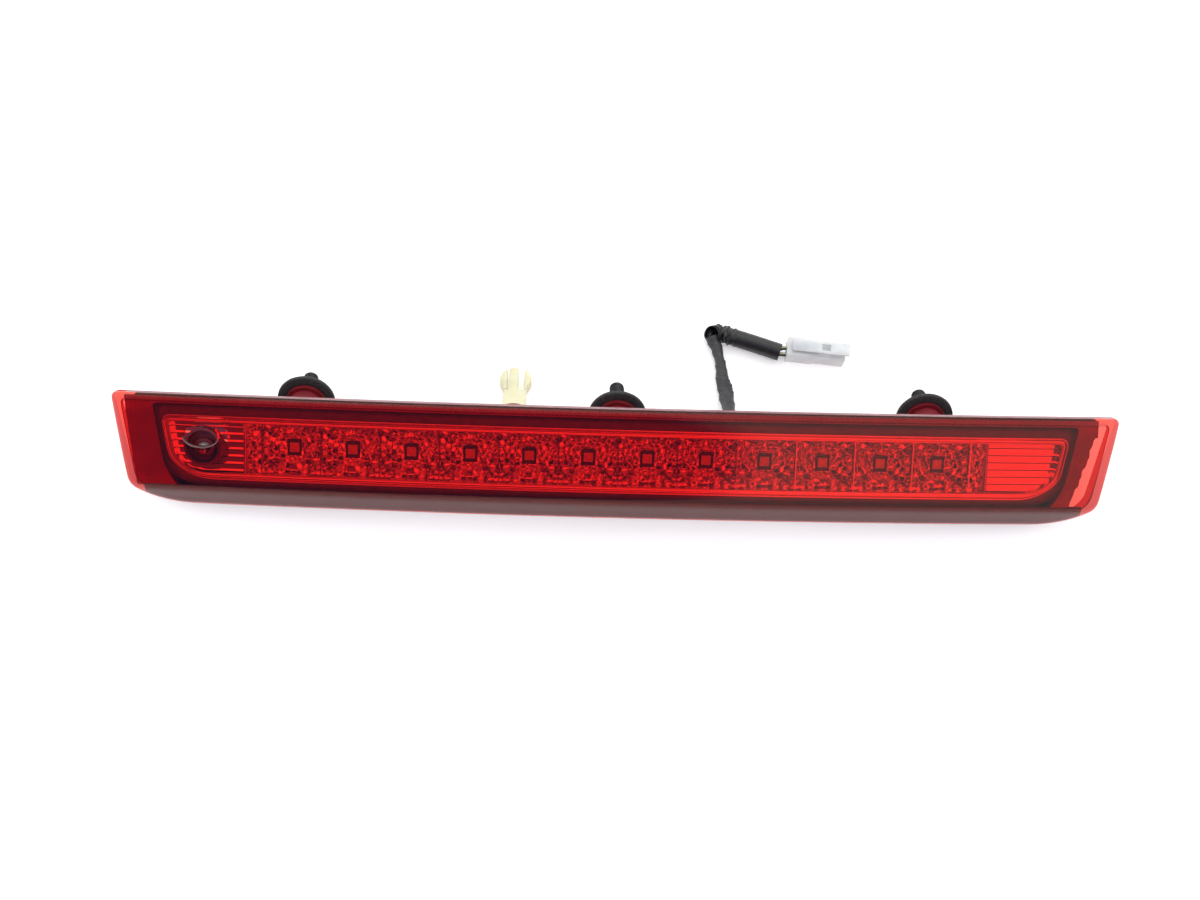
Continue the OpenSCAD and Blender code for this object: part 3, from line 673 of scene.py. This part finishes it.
def flutes():
    """The band of fine upright flutes moulded inside the lens, along its top and down both ends."""
    rng = np.random.default_rng(7)
    pitch, height, behind = 0.9, 0.16, 2.75
    top, low = 19.3, -15.6

    def fluted(x, z, side=1):
        """Lamp points on the wavy surface behind the lens's face."""
        return bend(side * x, face_depth(z) + behind + height * np.cos(2 * np.pi * x / pitch), z)

    # along the top: its lower edge turns down round the recess's corners
    x = np.arange(-186.2, 186.2, pitch / 4)
    edge = np.abs(x)
    corner_x, corner_r, band_low = 175.6, 4.0, 16.6
    arc = np.sqrt(np.clip(corner_r**2 - (edge - corner_x) ** 2, 0, None))
    under = np.where(edge > corner_x, band_low - corner_r + arc, band_low)
    under = np.where(edge > 179.5, band_low - corner_r, under)
    v = np.array([0, 0.5, 1])[:, None]
    strip = fluted(np.broadcast_to(x, (3, len(x))), under * (1 - v) + top * v)
    parts = [(to_row(strip), quads(3, len(x)), 0)]
    # down the ends: the left band's outer edge is even, the right one's is ragged and draws in lower down
    rows, cols = 28, 33
    step = np.arange(rows)
    for side, inset, ragged, draw, power in ((-1, 4.6, 0.15, -1.6, 1), (1, 7.9, 0.6, 4.0, 2)):
        wobble = 0.5 * np.sin(step * 0.9) + 0.35 * np.sin(step * 2.1 + 1) + rng.normal(0, 0.12, rows)
        grid = []
        for i, z in enumerate(np.linspace(top, low, rows)):
            fall = (top - z) / 35
            outer = inset + wobble[i] * ragged + draw * fall**power
            inner = 15.2 + 0.03 * max(0, -z - 4) ** 2
            x = LENS_W / 2 - np.linspace(outer, inner, cols) - (LENS_TOP - z) * math.tan(END_LEAN)
            grid.append(fluted(x, z, side))
        parts.append((to_row(np.stack(grid)), quads(rows, cols), 0))
    obj = make_joined("lens_flute_band", parts, materials=[flute_red])


# ---------------------------------------------------------------- bezel and reflector


def bezel():
    """The metallised frame: a raised band with bright lips round the window, and a recess outside it
    coloured a flat dark as painted shade.
    """
    bright, shaded = 0, 1

    def ring(grow, depth):
        """The window's outline, grow mm outside it."""
        corners = 1.2 + grow, 12 + grow * 1.5, 8.5 + grow
        o, _ = outline(174.4 + grow, 9.55 + grow, -9.65 - grow, *corners)
        return ring_points(o, depth)

    window_wall = [(0, 9.2), (0, 4.35)]
    inner_lip = [(0.05, 4.05), (0.2, 3.84), (0.42, 3.78), (0.62, 3.9), (0.72, 4.14)]
    outer_lip = [(1.85, 4.14), (1.95, 3.9), (2.15, 3.75), (2.4, 3.72), (2.62, 3.82), (2.76, 4.05)]
    foot = (2.8, 5.2)
    band = [ring(*p) for p in (*window_wall, *inner_lip, *outer_lip, foot)]
    o, _ = outline(181.2, 17.2, -16.2, 5.5, 22, 12)
    # the recess takes the shaded slot, whose flat dark colour is painted shade for its depth
    recess = [ring(*foot), ring_points(o, 5.2), ring_points(o, 6.4)]
    n = len(o)
    parts = [
        (np.stack(band), quads(len(band), n, wrap=True), bright),
        (np.stack(recess), quads(len(recess), n, wrap=True), shaded),
    ]
    # ribbed panels: each rib is a bright ledge, a narrow shadow line below it and a flat, as (drop, depth)
    rib_pitch, half_height = 2.83, 9.9
    ledge = [(0, 7.42), (0.4, 7.26), (0.8, 7.14)]
    under = [(0.8, 7.14), (0.86, 7.5), (1.15, 7.95)]
    flat = [(1.15, 7.66), (1.9, 7.55), (rib_pitch, 7.42)]
    for side in (-1, 1):
        x = side * np.linspace(143.4, 175.8, 26)
        for i in range(-3, 5):
            for piece in (ledge, under, flat):
                drop, depth = np.array(piece).T[:, :, None]
                z = np.clip(i * rib_pitch - 0.08 - drop, -half_height, half_height)
                parts.append((to_row(bend(x, depth, z)), quads(len(z), len(x)), bright))
        # the upright ridge between the panel and the reflector
        a = np.radians(np.linspace(0, 180, 9))
        x = side * (143.1 - 0.8 * np.cos(a))
        z = np.linspace(-half_height, half_height, 12)[:, None]
        parts.append((to_row(bend(x, 7.6 - 1.2 * np.sin(a), z)), quads(len(z), len(a)), bright))
    obj = make_joined("bezel", parts, materials=[metallised, painted_shade_dark])
    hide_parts("inner_bezel")


def reflector():
    """Twelve cups of pebbled facets, alike and each mirrored about its own LED."""
    rng = np.random.default_rng(21)
    step, pitch = 0.24, 1.95
    half_cell, half_height = CELL / 2, 9.75
    hole_x, hole_z, led = 2.8, 3.4, 1.9
    end_margin = 6
    gx, gz = np.meshgrid(np.arange(0.4, 18.2, pitch), np.arange(-10.4, 10.5, pitch * 0.9))
    seeds = np.stack([gx.ravel(), gz.ravel()], -1) + rng.uniform(-0.72, 0.72, (gx.size, 2))
    tilt = rng.uniform(-0.8, 0.8, (gx.size, 2))
    swell = rng.uniform(0.0, 0.25, gx.size)

    def cup(low, high):
        """Grid points of one cup from X low to high: a bowl broken into tilted facets round the seeds."""
        nx, nz = int((high - low) / step) + 1, int(2 * half_height / step) + 1
        x, z = np.meshgrid(np.linspace(low, high, nx), np.linspace(-half_height, half_height, nz))
        ax = np.abs(x)
        p = np.stack([ax, z], -1)[:, :, None] - seeds
        near = np.argmin((p**2).sum(-1), axis=2)
        off = np.take_along_axis(p, near[..., None, None], 2)[:, :, 0]
        relief = (off * tilt[near]).sum(-1) + swell[near] * (1 - (off**2).sum(-1))
        bowl = 12.4 - 4.6 * np.clip((np.hypot(ax, z) - 3.2) / 12.0, 0, 1) ** 0.9
        depth = np.clip(bowl - relief, 6.7, 13.2)
        return x, z, np.where(np.abs(ax - half_cell) < 0.3, 7.0, depth)

    def rectangle(hx, hz):
        return [(-hx, -hz), (hx, -hz), (hx, hz), (-hx, hz)]

    parts = []
    for i in range(CELLS):
        middle = (i - (CELLS - 1) / 2) * CELL
        low, high = -half_cell, half_cell
        if i == 0:
            low -= end_margin
        if i == CELLS - 1:
            high += end_margin
        x, z, depth = cup(low, high)
        keep = ~((np.abs(x) < hole_x) & (np.abs(z) < hole_z))
        nz, nx = x.shape
        faces = []
        for a in range(nz - 1):
            for b in range(nx - 1):
                if keep[a, b] or keep[a + 1, b + 1]:
                    near, far = a * nx + b, (a + 1) * nx + b
                    faces.append((near, near + 1, far + 1, far))
        parts.append((to_row(along(middle, np.stack([x, depth, z], -1))), faces, 0))
        # the well round the LED and its floor with the LED's opening, in a flat dark colour that is painted
        # shade
        hole, opening = rectangle(hole_x, hole_z), rectangle(led, led)
        well = [(px, d, pz) for d in (12.5, 13.9) for px, pz in hole]
        parts.append((to_row(along(middle, well)), quads(2, 4, wrap=True), 1))
        plate = [(px, 13.3, pz) for px, pz in hole + opening]
        parts.append((to_row(along(middle, plate)), quads(2, 4, wrap=True), 1))
    obj = make_joined("reflector_cups", parts, materials=[facet_metal, painted_shade_dark], smooth=False)
    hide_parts("reflector")


lens()
flutes()
slope_dark_sheet()
bezel()
reflector()

# ---------------------------------------------------------------- washer nozzle


def nozzle():
    """The rounded bulb low in the front of the nozzle's cup, cut level at the top, and the opening's lip."""
    cols, steps = 49, 14
    a = np.linspace(np.pi, 2 * np.pi, cols)
    rows = []
    for turn in np.linspace(0, math.pi / 2, steps):
        s, y = math.sin(turn), 4.6 - 1.7 * math.cos(turn)
        p = np.stack([5.0 * s * np.cos(a), np.full(cols, y), 5.2 * s * np.sin(a) + 0.9], -1)
        rows.append(along(NOZZLE_X, p))
    parts = [(to_row(np.stack(rows)), quads(steps, cols), 0)]
    # the lip: a thin rounded rim along the lower edge of the lens's opening, in a lighter and greyer red
    # than the bulb as a painted highlight
    opening = pocket()
    ring = angles(10)[:, None]
    rows = []
    for x, z in opening[opening[:, 1] < 4.2]:
        out = np.array([x / 9.0, 0, -1.0])
        out /= np.linalg.norm(out)
        p = [x, 1.4, z - 0.1] + 0.45 * (np.cos(ring) * out + np.sin(ring) * [0, 3.0, 0])
        rows.append(along(NOZZLE_X, p))
    parts.append((to_row(np.stack(rows)), quads(len(rows), len(ring), wrap=True), 1))
    obj = make_joined("nozzle_pocket", parts, materials=[bulb_red, lip_sheen_red])


nozzle()

# CAD nodes that keep their own mesh and get a finished material
for node, material in (
    ("nozzle_ball", nozzle_metal),
    ("nozzle_body", housing_red),
    ("nozzle_seal", rubber_black),
    ("nozzle_retainer", steel),
    ("hose_elbow", rubber_black),
    ("circuit_board", board_green),
    ("led_packages", led_white),
    ("led_windows", led_window),
    ("board_resistors", component_black),
    ("board_diodes", component_black),
    ("board_header", nylon_white),
    ("board_screws", steel),
    ("inner_lead_green", wire_green),
    ("inner_lead_black", wire_black),
    ("breather_cap", rubber_black),
    ("cable_grommet", rubber_black),
    ("housing", housing_red),
):
    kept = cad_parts[node].data.materials
    kept.clear()
    kept.append(material)

# ---------------------------------------------------------------- studs, gaskets, clip


def studs():
    """Three M6 studs with a rolled thread of 1 mm pitch, and a plain shoulder in the tower."""
    parts = []
    n, thread_depth = 36, 0.52
    a = angles(n)
    for x, tower in TOWERS.items():
        s = np.arange(tower - 0.4, STUD_END, 0.1)[:, None]
        groove = 0.5 - 0.5 * np.cos(2 * np.pi * ((s - a / (2 * np.pi)) % 1.0))
        r = STUD_R - thread_depth * groove**0.8
        r = np.where(s < tower + 0.6, STUD_R, r)
        r = np.minimum(r, 2.3 + (STUD_END - s) * 0.9)
        pts = np.stack([r * np.cos(a), r * np.sin(a), np.broadcast_to(s, r.shape)], -1)
        tip = np.array([[[0, 0, STUD_END - 0.1]] * n])
        pts = np.concatenate([pts, tip])
        parts.append((to_row(on_stud(x, pts)), quads(len(pts), n, wrap=True), 0))
        shoulder = [(STUD_R, 2), (STUD_R, tower - 0.15), (2.9, tower + 0.02), (2.8, tower + 0.04)]
        p, f = lathe(shoulder, n, close=False)
        parts.append((to_row(on_stud(x, p)), f, 0))
    obj = make_joined("stud_threads", parts, materials=[stud_black])
    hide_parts("mounting_studs")


def gaskets():
    """Flat foam washers against the towers' flanges, a little uneven."""
    parts = []
    n = 96
    a = angles(n)
    rng = np.random.default_rng(3)
    lower = [(4.05, 0.02), (10.9, 0.02), (11.25, 0.15), (11.4, 0.5), (11.4, 1.5)]
    upper = [(11.25, 1.85), (10.9, 2), (8, 2), (4.6, 2), (4.15, 1.85), (4.05, 1.5)]
    for x, tower in TOWERS.items():
        p, f = lathe([(r, tower + h) for r, h in lower + upper], n)
        lump = 0.07 * np.sin(a * 3 + rng.uniform(0, 6)) + 0.04 * np.sin(a * 7 + rng.uniform(0, 6))
        p[5:9, :, 2] -= np.abs(lump)
        p[..., :2] *= (1 - np.abs(lump) * 0.02)[None, :, None]
        parts.append((to_row(on_stud(x, p)), f, 0))
    obj = make_joined("foam_rings", parts, materials=[foam_black])
    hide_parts("stud_gaskets")


studs()
gaskets()
refined("clip_body", "clip_core", 0.45, nylon_ivory)
refined("clip_wing_left", "clip_left", 0.5, nylon_ivory, body="left_wing")
refined("clip_wing_right", "clip_right", 0.5, nylon_ivory, body="right_wing")

# ---------------------------------------------------------------- studio


def studio():
    """A pale floor, a bright sky with a darker, cooler patch for the lens to mirror, and one soft light."""
    floor_mat, nodes, links, out = new_material("floor")
    p = nodes.new("ShaderNodeBsdfPrincipled")
    p.inputs["Base Color"].default_value = (0.93, 0.93, 0.93, 1)
    p.inputs["Roughness"].default_value = 0.7
    p.inputs["Emission Color"].default_value = (1, 1, 1, 1)
    p.inputs["Emission Strength"].default_value = 0.38
    links.new(p.outputs[0], out.inputs["Surface"])
    s = 4.0
    square = np.array([(-s, -s, 0), (s, -s, 0), (s, s, 0), (-s, s, 0)])
    floor = make("floor", square, [(0, 1, 2, 3)], None, False, [floor_mat])

    world = bpy.data.worlds.new("studio")
    bpy.context.scene.world = world
    world.use_nodes = True
    nodes, links = world.node_tree.nodes, world.node_tree.links
    nodes.clear()
    out = nodes.new("ShaderNodeOutputWorld")
    bg = nodes.new("ShaderNodeBackground")
    links.new(bg.outputs[0], out.inputs[0])
    coords = nodes.new("ShaderNodeTexCoord")
    towards = nodes.new("ShaderNodeVectorMath")
    towards.operation = "DOT_PRODUCT"
    towards.inputs[1].default_value = Vector((-0.30, -0.59, 0.75)).normalized()
    links.new(coords.outputs["Generated"], towards.inputs[0])

    def patch(outside, inside):
        """A value for the patch of sky and another for the rest, with a soft edge."""
        r = span(nodes, links, towards.outputs["Value"], outside, inside, start=0.87, end=0.91)
        r.interpolation_type = "SMOOTHSTEP"
        return r.outputs["Result"]

    links.new(patch(1.3, 0.45), bg.inputs["Strength"])
    links.new(blend_colours(nodes, links, patch(0, 1), (1, 1, 1), (0.40, 0.45, 1)), bg.inputs["Color"])

    box = bpy.data.lights.new("back_box", "AREA")
    box.shape, box.size, box.size_y, box.energy = "RECTANGLE", 1.2, 0.6, 3
    obj = link("back_box", box)
    obj.location = (0.0, 0.9, 1.1)
    obj.rotation_mode = "QUATERNION"
    obj.rotation_quaternion = (-obj.location).to_track_quat("-Z", "Y")
    bpy.context.scene.view_settings.view_transform = "Standard"


studio()
